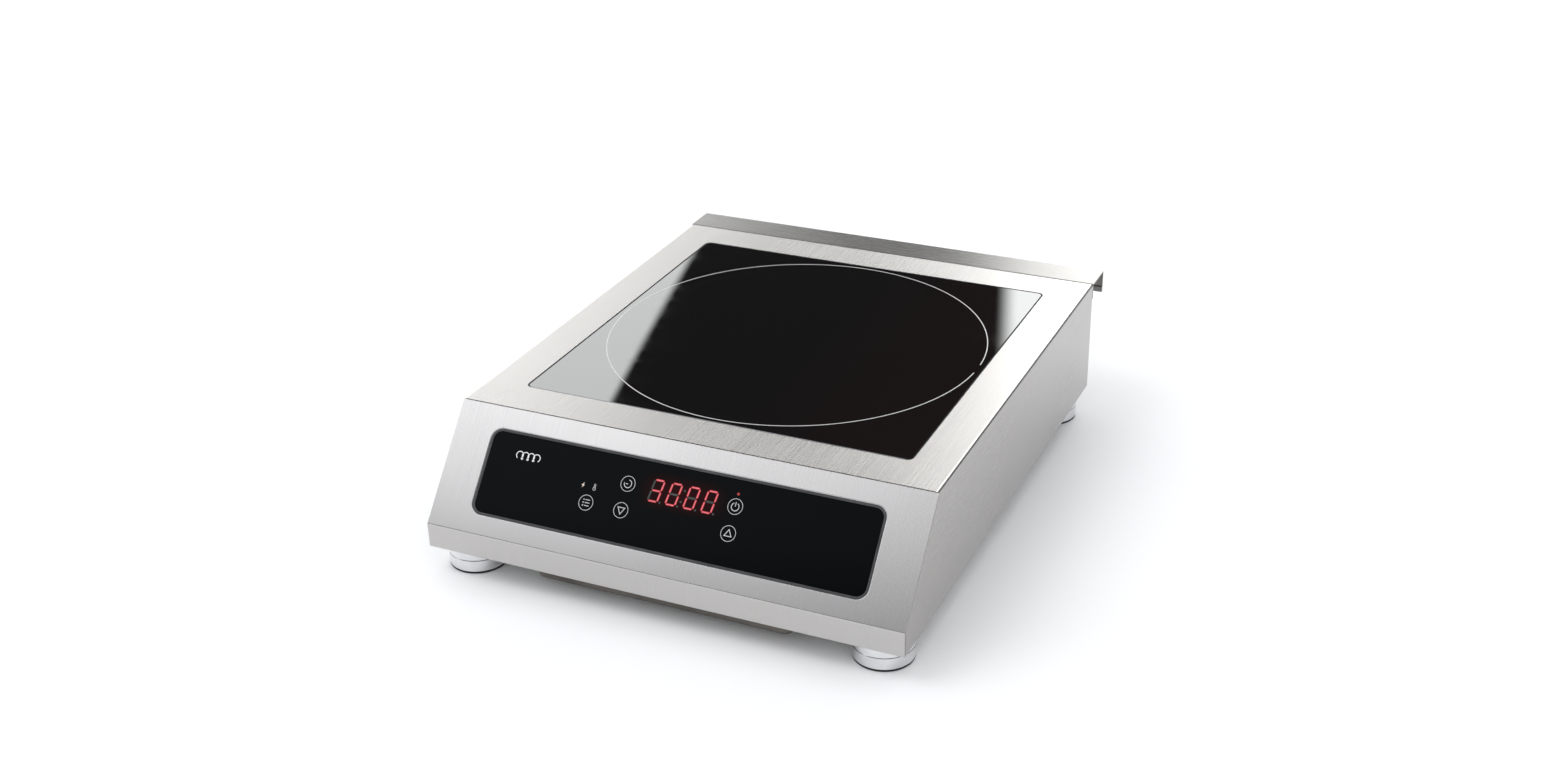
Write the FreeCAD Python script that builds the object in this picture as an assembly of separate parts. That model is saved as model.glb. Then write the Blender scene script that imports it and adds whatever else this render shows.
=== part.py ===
import FreeCAD, Part
import math
import os

# Counter-top induction hob: a folded stainless housing, a flush square of ceramic glass, a sloping
# touch panel, a shallow rear hood, two cooling fans, one flat coil and four screw feet.
# Millimetres. X runs to the right, Y from the front to the back, Z up.
# The origin is the centre of the footprint, on the worktop.

Vec = FreeCAD.Vector

# ---- driving dimensions ----
# housing
housing_width = 340.0
top_depth = 342.0
slope_run = 57.0
slope_drop = 67.5
lip_height = 17.5
foot_clearance = 18.0
hood_depth = 30.0
hood_drop = 17.6
sheet = 1.2
fold_radius = 2.0
edge_radius = 0.9
flange_width = 12.0
seam_gap = 0.8
corner_seam = 0.5
corner_seam_depth = 0.6
mitre_radius = 0.5
hood_hem = 4.5
hood_leg = 12.0
hood_screw_x = (-150.0, -50.0, 50.0, 150.0)
hood_screw_drop = 7.5
louvre_width = 4.0
louvre_z = (34.0, 76.0)
louvre_x = [-82.0 + 9.0 * step for step in range(25)]
# cooking glass
glass_size = 280.0
glass_thickness = 4.0
glass_corner = 4.0
glass_setback = 31.5
glass_drop = 0.1
sealant_gap = 0.9
bed_height = 0.4
ledge_width = 9.0
# control window on the slope
window_width = 282.6
window_height = 59.3
window_corner = 8.0
window_setback = 15.3
window_edge_radius = 0.7
gasket_rim = 1.6
gasket_recess = 0.3
gasket_flange = 5.0
gasket_flange_thickness = 1.0
control_glass_recess = 0.7
control_glass_thickness = 3.0
# touch keys, lamps and display: x across the panel, then distance down the slope from the fold
key_places = [(-60.4, 51.6), (-34.6, 33.9), (-34.6, 51.6), (42.1, 34.0), (42.1, 51.6)]
lamp_places = [(42.1, 25.8), (-65.7, 40.8), (-57.2, 40.8)]
display_place = (5.2, 34.5)
display_size = (50.3, 19.0, 8.0)
key_spring_radius = 4.0
lamp_radius = 1.5
# control board and its carrier, behind the window
carrier_size = (290.0, 68.0)
carrier_opening = (262.0, 42.0)
carrier_thickness = 2.5
board_gap = 12.0
board_thickness = 1.6
control_board_size = (130.0, 58.0)
control_board_x = -8.0
control_hole_inset = (6.0, 4.0)
boss_radius = 3.2
buzzer_offset = -30.0
buzzer_radius = 6.0
buzzer_height = 8.0
# feet
foot_radius = 20.0
foot_inner_radius = 17.2
foot_groove = (9.6, 0.8, 0.7)
foot_boss_radius = 8.0
foot_web = 4.5
spigot_radius = 3.0
foot_x = 147.5
foot_front_y = -190.6
foot_rear_y = 161.5
stud_radius = 4.0
stud_length = 20.0
thread_clearance = 0.05
gap = 0.3
pad_show = 1.3
pad_inset = 0.2
# base
base_inset = 4.0
base_screw_inset = 8.0
base_screw_side_y = (-140.0, 0.0, 120.0)
base_screw_end_x = (-118.0, 118.0)
intake_slot = 5.0
intake_pitch = 8.0
guard_width = 184.0
guard_depth = 110.0
guard_height = 7.8
guard_front_y = -208.0
guard_sheet = 1.0
guard_ear = 14.0
guard_ear_reach = 5.0
guard_ear_step = 35.0
slot_width = 3.2
slot_pitch = 7.0
# fans
fan_size = 80.0
fan_height = 25.0
fan_x = 50.0
fan_y = -140.0
fan_bore = 38.5
blade_reach = 37.2
hub_radius = 17.0
fan_shaft_radius = 1.5
fan_hole_inset = 4.25
fan_hole_radius = 2.2
blade_count = 7
blade_pitch = 52.0
# coil
coil_inner = 24.0
coil_outer = 104.0
turn_pitch = 4.3
turn_gap = 0.5
winding_height = 4.0
former_height = 2.6
ferrite_count = 8
ferrite_size = (68.0, 15.0, 5.4)
shield_thickness = 1.5
mica_thickness = 0.6
sensor_cap_radius = 9.0
sensor_bead_radius = 2.4
sensor_spring_radii = (8.2, 9.1)
sensor_spring_turns = 3
coil_post_radius = 4.0
coil_post_reach = 110.0
coil_post_angles = (30.0, 150.0, 210.0, 330.0)
# power board
power_board_size = (170.0, 165.0)
power_board_y = 37.5
standoff_height = 8.0
heatsink_size = (112.0, 76.0, 42.0)
heatsink_place = (-15.0, 0.0)
fin_count = 13
fin_thickness = 1.8
fin_base = 6.0
package_height = 5.0
package_depth = 21.0
capacitor_size = (42.0, 20.0, 37.0)
capacitor_places = [(-58.0, 62.0), (-58.0, 88.0), (-8.0, 62.0)]
choke_place = (50.0, 70.0)
choke_radii = (13.0, 6.0)
fuse_place = (10.0, 100.0)
fuse_size = (20.0, 2.6)
terminal_place = (58.0, 104.0)
terminal_size = (30.0, 16.0, 16.0)
terminal_pitch = 9.5
ribbon_half_size = (6.0, 0.5)
ribbon_bend = 4.0
earth_stud_place = (-130.0, 130.0)
# fasteners
small_screw_radius = 1.5
housing_screw_radius = 2.0
screw_clearance = 0.2
# mains entry
gland_x = -125.0
gland_z = 46.0
gland_bore = 4.6
gland_thread = 8.0
gland_hex = 20.0

# ---- derived positions ----
half_width = housing_width / 2.0
total_depth = slope_run + top_depth + hood_depth
front_y = -total_depth / 2.0
fold_y = front_y + slope_run
rear_y = fold_y + top_depth
hood_y = rear_y + hood_depth
top_z = foot_clearance + lip_height + slope_drop
lip_top_z = foot_clearance + lip_height
slope_angle = math.degrees(math.atan2(slope_drop, slope_run))
glass_y = fold_y + glass_setback + glass_size / 2.0
glass_top_z = top_z - glass_drop
glass_low_z = glass_top_z - glass_thickness
ledge_z = glass_low_z - bed_height
base_top_z = foot_clearance
base_low_z = base_top_z - sheet
window_v = window_setback + window_height / 2.0
mica_z = glass_low_z - 1.9
winding_z = mica_z - 0.2 - winding_height
former_z = winding_z - 0.2 - former_height
ferrite_z = former_z - 0.3 - ferrite_size[2]
shield_z = ferrite_z - 0.3 - shield_thickness
hood_screw_z = top_z - hood_screw_drop
power_board_z = base_top_z + standoff_height
parts_on_board_z = power_board_z + board_thickness
foot_corners = {
    "front_left": (-foot_x, foot_front_y),
    "front_right": (foot_x, foot_front_y),
    "rear_left": (-foot_x, foot_rear_y),
    "rear_right": (foot_x, foot_rear_y),
}
fan_centres = {"left": -fan_x, "right": fan_x}


# ---- shape helpers ----
def box(x_low, x_high, y_low, y_high, z_low, z_high):
    size = (x_high - x_low, y_high - y_low, z_high - z_low)
    return Part.makeBox(size[0], size[1], size[2], Vec(x_low, y_low, z_low))


def block(x, y, width, depth, z_low, z_high):
    return box(x - width / 2.0, x + width / 2.0, y - depth / 2.0, y + depth / 2.0, z_low, z_high)


def disc(radius, z_low, z_high, x=0.0, y=0.0):
    return Part.makeCylinder(radius, z_high - z_low, Vec(x, y, z_low))


def ring(inner, outer, z_low, z_high, x=0.0, y=0.0):
    return disc(outer, z_low, z_high, x, y).cut(disc(inner, z_low, z_high, x, y))


def rounded(x, y, width, depth, corner, z_low, z_high):
    plate = block(x, y, width, depth, z_low, z_high)
    upright = [edge for edge in plate.Edges if abs(edge.tangentAt(edge.FirstParameter).z) > 0.9]
    return plate.makeFillet(corner, upright)


def rounded_ring(x, y, width, depth, corner, rim, z_low, z_high):
    inner_corner = max(corner - rim, 0.5)
    hole = rounded(x, y, width - 2.0 * rim, depth - 2.0 * rim, inner_corner, z_low, z_high)
    return rounded(x, y, width, depth, corner, z_low, z_high).cut(hole)


def hexagon(across_flats, z_low, z_high, x=0.0, y=0.0):
    reach = across_flats / math.sqrt(3.0)
    turns = [math.radians(60.0 * step) for step in range(7)]
    corners = [Vec(x + reach * math.cos(turn), y + reach * math.sin(turn), z_low) for turn in turns]
    return Part.Face(Part.makePolygon(corners)).extrude(Vec(0, 0, z_high - z_low))


def revolved(profile, x=0.0, y=0.0):
    corners = [Vec(x + radius, y, z) for radius, z in profile]
    face = Part.Face(Part.makePolygon(corners + corners[:1]))
    return face.revolve(Vec(x, y, 0), Vec(0, 0, 1), 360.0)


def prism_across(profile, reach):
    corners = [Vec(-reach, y, z) for y, z in profile]
    face = Part.Face(Part.makePolygon(corners + corners[:1]))
    return face.extrude(Vec(2.0 * reach, 0, 0))


def join(shapes):
    return shapes[0].fuse(shapes[1:]).removeSplitter()


def lengthways(shape, direction, test):
    """Straight edges of shape that run along direction and whose middle passes test."""
    found = []
    for edge in shape.Edges:
        middle = edge.valueAt((edge.FirstParameter + edge.LastParameter) / 2.0)
        along = edge.tangentAt(edge.FirstParameter).dot(direction)
        if abs(along) > 0.999 and test(middle):
            found.append(edge)
    return found


def on_slope(shape):
    """Moves a shape from panel axes (x across, y up the slope, z out of it) to the housing."""
    turn = FreeCAD.Rotation(Vec(1, 0, 0), slope_angle)
    shape.Placement = FreeCAD.Placement(Vec(0, fold_y, top_z), turn)
    return shape


def pan_screw(radius, length, z_head, x, y, points_up):
    """A pan-head screw; z_head is the face that the head bears on."""
    side = 1.0 if points_up else -1.0
    head_height = 1.1 * radius
    shank = Part.makeCylinder(radius, length, Vec(x, y, z_head), Vec(0, 0, side))
    head = Part.makeCylinder(2.0 * radius, head_height, Vec(x, y, z_head), Vec(0, 0, -side))
    rim = [edge for edge in head.Edges if abs(edge.CenterOfMass.z - z_head) > 0.9 * head_height]
    rim = [edge for edge in rim if edge.Closed]
    recess_z = z_head - side * head_height
    cross = [block(x, y, 2.2 * radius, 0.5 * radius, recess_z - 0.6, recess_z + 0.6)]
    cross.append(block(x, y, 0.5 * radius, 2.2 * radius, recess_z - 0.6, recess_z + 0.6))
    return join([head.makeFillet(0.5 * radius, rim), shank]).cut(Part.makeCompound(cross))


# ---- housing ----
def front_profile():
    """Outer and inner corners of the folded front: lip bottom, lip top and the fold at the deck."""
    lean = math.radians(slope_angle)
    back = Vec(0, sheet * math.sin(lean), -sheet * math.cos(lean))
    drop = (top_z + back.z - (top_z - sheet)) / math.tan(lean)
    inner_fold = (fold_y + back.y - drop, top_z - sheet)
    lip_in = front_y + sheet
    inner_lip_z = inner_fold[1] - (inner_fold[0] - lip_in) * math.tan(lean)
    outer = [(front_y, foot_clearance), (front_y, lip_top_z), (fold_y, top_z)]
    inner = [inner_fold, (lip_in, inner_lip_z), (lip_in, foot_clearance)]
    return outer, inner


def window_cutter(z_low, z_high):
    y = -window_v
    return on_slope(rounded(0, y, window_width, window_height, window_corner, z_low, z_high))


def in_panel(shape):
    """Where the middle of an edge or face lies in panel axes."""
    turn = FreeCAD.Rotation(Vec(1, 0, 0), slope_angle)
    return turn.inverted().multVec(shape.CenterOfMass - Vec(0, fold_y, top_z))


def window_rim(panel):
    """The window's edges in the slope's outer face."""
    x_reach, y_reach = window_width / 2.0 + 0.1, window_height / 2.0 + 0.1
    found = []
    for edge in panel.Edges:
        place = in_panel(edge)
        inside = abs(place.x) < x_reach and abs(place.y + window_v) < y_reach
        if inside and abs(place.z) < 0.01:
            found.append(edge)
    return found


def front_panel():
    outer, inner = front_profile()
    flange_y = front_y + sheet + flange_width
    flange_high = foot_clearance + sheet
    flange = [(front_y + sheet, flange_high), (flange_y, flange_high), (flange_y, foot_clearance)]
    panel = prism_across(outer + inner[:2] + flange, half_width)
    across = Vec(1, 0, 0)
    bend = lengthways(panel, across, lambda m: abs(m.y - front_y) < 0.01 and abs(m.z - lip_top_z) < 0.01)
    panel = panel.makeFillet(fold_radius, bend)
    inner_y, inner_z = inner[1]
    bend = lengthways(panel, across, lambda m: abs(m.y - inner_y) < 0.01 and abs(m.z - inner_z) < 0.01)
    panel = panel.makeFillet(fold_radius - sheet, bend)
    bottom = lengthways(panel, across, lambda m: abs(m.y - front_y) < 0.01 and m.z < foot_clearance + 0.01)
    panel = panel.makeFillet(edge_radius, bottom)
    mitre = lengthways(panel, across, lambda m: m.z > top_z - 0.01)
    panel = panel.makeFillet(mitre_radius, mitre)
    relief = []
    for side in (-1.0, 1.0):
        x_edge = side * (half_width - sheet - 1.0)
        x_low, x_high = sorted((x_edge, side * (half_width + 1.0)))
        z_low, z_high = foot_clearance - 1.0, flange_high + 0.5
        relief.append(box(x_low, x_high, front_y + sheet, flange_y + 1.0, z_low, z_high))
    panel = panel.cut(Part.makeCompound(relief)).cut(window_cutter(-2.0 * sheet, 1.0))
    panel = panel.makeFillet(window_edge_radius, window_rim(panel))
    return panel.cut(housing_screw_holes())


def corner_seams():
    """The fine groove on each side where the side wall meets the back of the front panel."""
    outer, inner = front_profile()
    behind = [(y + corner_seam, z) for y, z in inner]
    band = prism_across(inner + behind[::-1], half_width + 1.0)
    keep = half_width - corner_seam_depth
    return band.cut(box(-keep, keep, front_y, rear_y, 0.0, top_z + 1.0))


def top_cover():
    outer, inner = front_profile()
    shell = [inner[2], inner[1], inner[0], outer[2]]
    shell += [(rear_y, top_z), (rear_y, foot_clearance)]
    body = prism_across(shell, half_width)
    along = Vec(0, 1, 0)
    body = body.makeFillet(fold_radius, lengthways(body, along, lambda m: m.z > top_z - 0.01))
    room = [(front_y - 1.0, foot_clearance - 1.0), (front_y - 1.0, top_z - sheet)]
    room += [(rear_y + 1.0, top_z - sheet), (rear_y + 1.0, foot_clearance - 1.0)]
    hollow = prism_across(room, half_width - sheet)
    upper = lengthways(hollow, along, lambda m: m.z > top_z - sheet - 0.01)
    cover = body.cut(hollow.makeFillet(fold_radius - sheet, upper))
    cut_out = glass_size + 2.0 * sealant_gap
    cut_corner = glass_corner + sealant_gap
    cover = cover.cut(rounded(0, glass_y, cut_out, cut_out, cut_corner, top_z - 2.0 * sheet, top_z + 1.0))
    flanges = []
    for side in (-1.0, 1.0):
        x_low, x_high = sorted((side * (half_width - sheet - flange_width), side * (half_width - sheet)))
        y_low = front_y + sheet + flange_width + 1.0
        y_high = rear_y - sheet - flange_width - 1.0
        flanges.append(box(x_low, x_high, y_low, y_high, foot_clearance, foot_clearance + sheet))
    cover = join([cover] + flanges).cut(housing_screw_holes())
    return cover.cut(front_panel()).cut(corner_seams())


def rear_panel():
    wall_reach = half_width - sheet
    wall = box(-wall_reach, wall_reach, rear_y - sheet, rear_y, foot_clearance, top_z - sheet)
    reach = wall_reach - 1.0
    flange = box(-reach, reach, rear_y - sheet - flange_width, rear_y, foot_clearance, foot_clearance + sheet)
    panel = join([wall, flange])
    across = Vec(1, 0, 0)
    corner = lengthways(panel, across, lambda m: m.y > rear_y - 0.01 and m.z < foot_clearance + 0.01)
    panel = panel.makeFillet(edge_radius, corner)
    top_corners = lengthways(panel, Vec(0, 1, 0), lambda m: m.z > top_z - sheet - 0.01)
    panel = panel.makeFillet(edge_radius, top_corners)
    y_low, y_high = rear_y - 3.0, rear_y + 1.0
    screw_hole = housing_screw_radius + screw_clearance
    cutters = [along_y(gland_thread + screw_clearance, y_low, y_high, gland_x, gland_z)]
    cutters += [along_y(screw_hole, y_low, y_high, x, hood_screw_z) for x in hood_screw_x]
    cutters += [louvre(x) for x in louvre_x]
    return panel.cut(Part.makeCompound(cutters)).cut(housing_screw_holes())


def along_y(radius, y_low, y_high, x, z):
    return Part.makeCylinder(radius, y_high - y_low, Vec(x, y_low, z), Vec(0, 1, 0))


def louvre(x):
    r = louvre_width / 2.0
    low, high = louvre_z[0] + r, louvre_z[1] - r
    middle = box(x - r, x + r, rear_y - 3.0, rear_y + 1.0, low, high)
    ends = [along_y(r, rear_y - 3.0, rear_y + 1.0, x, z) for z in (low, high)]
    return join([middle] + ends)


def rear_hood():
    leg_y = rear_y + seam_gap
    low_z = top_z - hood_drop
    hem_y = hood_y - 2.0 * sheet
    profile = [(leg_y, top_z - hood_leg), (leg_y, top_z), (hood_y, top_z), (hood_y, low_z)]
    profile += [(hem_y, low_z), (hem_y, low_z + hood_hem), (hood_y - sheet, low_z + hood_hem)]
    profile += [(hood_y - sheet, top_z - sheet), (leg_y + sheet, top_z - sheet)]
    profile += [(leg_y + sheet, top_z - hood_leg)]
    hood = prism_across(profile, half_width)
    across = Vec(1, 0, 0)
    rear_fold = lengthways(hood, across, lambda m: m.y > hood_y - 0.01 and m.z > top_z - 0.01)
    hood = hood.makeFillet(fold_radius, rear_fold)
    low_fold = lengthways(hood, across, lambda m: m.z < low_z + 0.01 and m.y > hem_y - 0.01)
    hood = hood.makeFillet(edge_radius, low_fold)
    front_fold = lengthways(hood, across, lambda m: m.y < leg_y + 0.01 and m.z > top_z - 0.01)
    hood = hood.makeFillet(edge_radius, front_fold)
    screw_hole = housing_screw_radius + screw_clearance
    holes = [along_y(screw_hole, rear_y, rear_y + 3.0, x, hood_screw_z) for x in hood_screw_x]
    return hood.cut(Part.makeCompound(holes))


def hood_screws():
    screws = []
    for x in hood_screw_x:
        screw = pan_screw(housing_screw_radius, 8.0, 0.0, 0.0, 0.0, False)
        turn = FreeCAD.Rotation(Vec(1, 0, 0), -90.0)
        place = Vec(x, rear_y + seam_gap + sheet, hood_screw_z)
        screw.Placement = FreeCAD.Placement(place, turn)
        screws.append(screw)
    return Part.makeCompound(screws)


def base_screw_places():
    x_side = half_width - sheet - flange_width / 2.0
    y_front = front_y + sheet + base_screw_inset
    y_rear = rear_y - sheet - base_screw_inset
    places = [(side * x_side, y) for side in (-1.0, 1.0) for y in base_screw_side_y]
    places += [(x, y) for x in base_screw_end_x for y in (y_front, y_rear)]
    return places


def housing_screw_holes():
    radius = housing_screw_radius + screw_clearance
    high = foot_clearance + sheet + 1.0
    return Part.makeCompound([disc(radius, base_low_z - 1.0, high, x, y) for x, y in base_screw_places()])


def base_plate():
    width = housing_width - 2.0 * base_inset
    depth = rear_y - front_y - 2.0 * base_inset
    plate = rounded(0, (front_y + rear_y) / 2.0, width, depth, 6.0, base_low_z, base_top_z)
    low, high = base_low_z - 1.0, base_top_z + 1.0
    cutters = [disc(stud_radius + 0.4, low, high, x, y) for x, y in foot_corners.values()]
    for x in fan_centres.values():
        for step in range(-4, 5):
            offset = step * intake_pitch
            reach = 0.94 * math.sqrt(fan_bore ** 2 - offset ** 2)
            cutters.append(block(x + offset, fan_y, intake_slot, 2.0 * reach, low, high))
    screw_hole = small_screw_radius + screw_clearance
    cutters += [disc(screw_hole, low, high, x, y) for x, y in guard_screw_places()]
    return plate.cut(Part.makeCompound(cutters)).cut(housing_screw_holes())


def base_screws():
    screws = [pan_screw(housing_screw_radius, 5.0, base_low_z, x, y, True) for x, y in base_screw_places()]
    return Part.makeCompound(screws)


def guard_screw_places():
    y_middle = guard_front_y + guard_depth / 2.0
    x_ear = guard_width / 2.0 + guard_ear_reach
    return [(side * x_ear, y_middle + step * guard_ear_step) for side in (-1.0, 1.0) for step in (-1.0, 1.0)]


def intake_guard():
    y_middle = guard_front_y + guard_depth / 2.0
    low_z = base_low_z - guard_height
    tray = rounded(0, y_middle, guard_width, guard_depth, 6.0, low_z, base_low_z)
    bottom = [edge for edge in tray.Edges if abs(edge.CenterOfMass.z - low_z) < 0.01]
    tray = tray.makeFillet(2.0, bottom)
    inner_width, inner_depth = guard_width - 2.0 * guard_sheet, guard_depth - 2.0 * guard_sheet
    hollow = rounded(0, y_middle, inner_width, inner_depth, 5.0, low_z + guard_sheet, base_low_z + 1.0)
    ear_low = base_low_z - guard_sheet
    ears = [block(x, y, guard_ear, guard_ear, ear_low, base_low_z) for x, y in guard_screw_places()]
    tray = join([tray] + ears).cut(hollow)
    count = int((guard_width - 30.0) / slot_pitch)
    first = -slot_pitch * (count - 1) / 2.0
    slot_length = guard_depth - 24.0
    cutters = [block(first + slot_pitch * step, y_middle, slot_width, slot_length, low_z - 1.0, low_z + 2.0)
               for step in range(count)]
    screw_hole = small_screw_radius + screw_clearance
    cutters += [disc(screw_hole, base_low_z - 3.0, base_low_z + 1.0, x, y) for x, y in guard_screw_places()]
    return tray.cut(Part.makeCompound(cutters))


def guard_screws():
    z_head = base_low_z - guard_sheet
    screws = [pan_screw(small_screw_radius, 5.0, z_head, x, y, True) for x, y in guard_screw_places()]
    return Part.makeCompound(screws)


# ---- cooking glass ----
def ceramic_glass():
    plate = rounded(0, glass_y, glass_size, glass_size, glass_corner, glass_low_z, glass_top_z)
    rim = [edge for edge in plate.Edges if abs(edge.CenterOfMass.z - glass_top_z) < 0.01]
    return plate.makeChamfer(0.4, rim)


def glass_sealant():
    outer = glass_size + 2.0 * sealant_gap
    corner = glass_corner + sealant_gap
    bead = rounded_ring(0, glass_y, outer, outer, corner, sealant_gap, ledge_z, glass_top_z - 0.3)
    bed = rounded_ring(0, glass_y, outer, outer, corner, ledge_width, ledge_z, glass_low_z)
    return join([bead, bed])


def glass_support_frame():
    web = glass_size + 2.0 * sealant_gap + 2.0 * sheet
    corner = glass_corner + sealant_gap + sheet
    rail = rounded_ring(0, glass_y, web, web, corner, sheet, ledge_z - sheet, top_z - sheet)
    ledge = rounded_ring(0, glass_y, web, web, corner, sheet + ledge_width, ledge_z - sheet, ledge_z)
    wide = web + 16.0
    high = top_z - sheet
    flange = rounded_ring(0, glass_y, wide, wide, corner + 8.0, 8.0 + sheet / 2.0, high - sheet, high)
    return join([rail, ledge, flange])


# ---- control panel ----
def control_gasket():
    y = -window_v
    rim = rounded_ring(0, y, window_width, window_height, window_corner, gasket_rim,
                       -control_glass_recess - control_glass_thickness, -gasket_recess)
    wide = window_width + 2.0 * gasket_flange
    tall = window_height + 2.0 * gasket_flange
    flange = rounded_ring(0, y, wide, tall, window_corner + gasket_flange, gasket_flange + gasket_rim,
                          -sheet - gasket_flange_thickness, -sheet)
    return on_slope(join([rim, flange]))


def control_glass():
    y = -window_v
    width = window_width - 2.0 * gasket_rim
    height = window_height - 2.0 * gasket_rim
    low = -control_glass_recess - control_glass_thickness
    plate = rounded(0, y, width, height, window_corner - gasket_rim, low, -control_glass_recess)
    rim = [edge for edge in plate.Edges if abs(edge.CenterOfMass.z + control_glass_recess) < 0.01]
    return on_slope(plate.makeChamfer(0.3, rim))


def control_hole_places():
    x_reach = control_board_size[0] / 2.0 - control_hole_inset[0]
    y_reach = control_board_size[1] / 2.0 - control_hole_inset[1]
    places = [(sx * x_reach, sy * y_reach) for sx in (-1.0, 1.0) for sy in (-1.0, 1.0)]
    return [(control_board_x + x, y - window_v) for x, y in places]


def panel_carrier():
    y = -window_v
    high = -control_glass_recess - control_glass_thickness
    plate = rounded(0, y, carrier_size[0], carrier_size[1], 4.0, high - carrier_thickness, high)
    hole = rounded(0, y, carrier_opening[0], carrier_opening[1], 3.0, high - carrier_thickness, high)
    bosses = [disc(boss_radius, -board_gap, high - 0.5, x, y_hole) for x, y_hole in control_hole_places()]
    pilots = [disc(small_screw_radius - 0.4, -board_gap - 1.0, high - 1.0, x, y_hole)
              for x, y_hole in control_hole_places()]
    return on_slope(join([plate.cut(hole)] + bosses).cut(Part.makeCompound(pilots)))


def control_board():
    plate = rounded(control_board_x, -window_v, control_board_size[0], control_board_size[1], 2.0,
                    -board_gap - board_thickness, -board_gap)
    holes = [disc(small_screw_radius + screw_clearance, -board_gap - 3.0, 0.0, x, y)
             for x, y in control_hole_places()]
    return on_slope(plate.cut(Part.makeCompound(holes)))


def control_board_screws():
    z_head = -board_gap - board_thickness
    screws = [pan_screw(small_screw_radius - 0.4, 5.0, z_head, x, y, True) for x, y in control_hole_places()]
    return on_slope(Part.makeCompound(screws))


def display_module():
    x, v = display_place
    width, height, depth = display_size
    return on_slope(rounded(x, -v, width, height, 0.6, -board_gap, depth - board_gap))


def indicator_lamps():
    lamps = []
    for x, v in lamp_places:
        collar = disc(lamp_radius + 0.4, -board_gap, -board_gap + 1.0, x, -v)
        stem = disc(lamp_radius, -board_gap, -board_gap + 5.0, x, -v)
        dome = Part.makeSphere(lamp_radius, Vec(x, -v, -board_gap + 5.0))
        lamps.append(join([collar, stem, dome]))
    return on_slope(Part.makeCompound(lamps))


def key_springs():
    high = -control_glass_recess - control_glass_thickness - 0.1
    springs = []
    for x, v in key_places:
        coil = ring(key_spring_radius - 0.7, key_spring_radius, -board_gap, high - 0.6, x, -v)
        cap = disc(key_spring_radius, high - 0.6, high, x, -v)
        springs.append(join([coil, cap]))
    return on_slope(Part.makeCompound(springs))


def buzzer():
    back = -board_gap - board_thickness
    front = back - buzzer_height
    x = control_board_x + buzzer_offset
    can = disc(buzzer_radius, front, back, x, -window_v)
    sound_hole = disc(1.0, front - 1.0, front + 2.0, x, -window_v)
    return on_slope(can.cut(sound_hole))


# ---- feet ----
def foot_cup(x, y):
    """Chromed cup with its threaded stud; the pad's spigot turns in the blind bore from below."""
    top = base_low_z - gap
    low = pad_show + gap
    groove_low, groove_height, groove_depth = foot_groove
    groove_radius = foot_radius - groove_depth
    groove_high = groove_low + groove_height
    web_z = top - foot_web
    boss_low = low + 3.4
    bore = spigot_radius + thread_clearance
    profile = [(bore, boss_low), (foot_boss_radius, boss_low), (foot_boss_radius, web_z)]
    profile += [(foot_inner_radius, web_z), (foot_inner_radius, low)]
    profile += [(foot_radius - 0.3, low), (foot_radius, low + 0.3)]
    profile += [(foot_radius, groove_low), (groove_radius, groove_low)]
    profile += [(groove_radius, groove_high), (foot_radius, groove_high)]
    profile += [(foot_radius, top - 1.0), (foot_radius - 1.0, top), (stud_radius, top)]
    profile += [(stud_radius, top + stud_length - 1.0), (stud_radius - 1.0, top + stud_length)]
    profile += [(0.0, top + stud_length), (0.0, web_z), (bore, web_z)]
    return revolved(profile, x, y)


def foot_pad(x, y):
    plug_high = pad_show + gap + 3.1
    plug_radius = foot_inner_radius - gap
    spigot_high = base_low_z - gap - foot_web - 0.5
    outer = foot_radius - pad_inset
    profile = [(0.0, 0.0), (outer - 0.4, 0.0), (outer, 0.4), (outer, pad_show)]
    profile += [(plug_radius, pad_show), (plug_radius, plug_high)]
    profile += [(spigot_radius, plug_high), (spigot_radius, spigot_high), (0.0, spigot_high)]
    return revolved(profile, x, y)


def foot_nuts():
    nuts = []
    low = base_top_z
    for x, y in foot_corners.values():
        body = join([hexagon(13.0, low, low + 6.5, x, y), disc(8.0, low, low + 1.4, x, y)])
        nuts.append(body.cut(disc(stud_radius + thread_clearance, low - 1.0, low + 8.0, x, y)))
    return Part.makeCompound(nuts)


# ---- fans ----
def fan_hole_places(x):
    reach = fan_size / 2.0 - fan_hole_inset
    return [(x + sx * reach, fan_y + sy * reach) for sx in (-1.0, 1.0) for sy in (-1.0, 1.0)]


def fan_frame(x):
    low, high = base_top_z, base_top_z + fan_height
    frame = rounded(x, fan_y, fan_size, fan_size, 4.0, low, high)
    frame = frame.cut(disc(fan_bore, low - 1.0, high + 1.0, x, fan_y))
    holes = [disc(fan_hole_radius, low - 1.0, high + 1.0, *place) for place in fan_hole_places(x)]
    frame = frame.cut(Part.makeCompound(holes))
    plate_low = high - 2.5
    spokes = [disc(hub_radius, plate_low, high, x, fan_y)]
    for turn in (45.0, 135.0):
        spoke = block(0, 0, 2.0 * fan_bore + 3.0, 4.0, plate_low, high)
        spoke.rotate(Vec(0, 0, 0), Vec(0, 0, 1), turn)
        spoke.translate(Vec(x, fan_y, 0))
        spokes.append(spoke)
    bearing = disc(5.0, low + 10.0, plate_low, x, fan_y)
    frame = join([frame, bearing] + spokes)
    return frame.cut(disc(fan_shaft_radius + thread_clearance, low, high - 1.0, x, fan_y))


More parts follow.
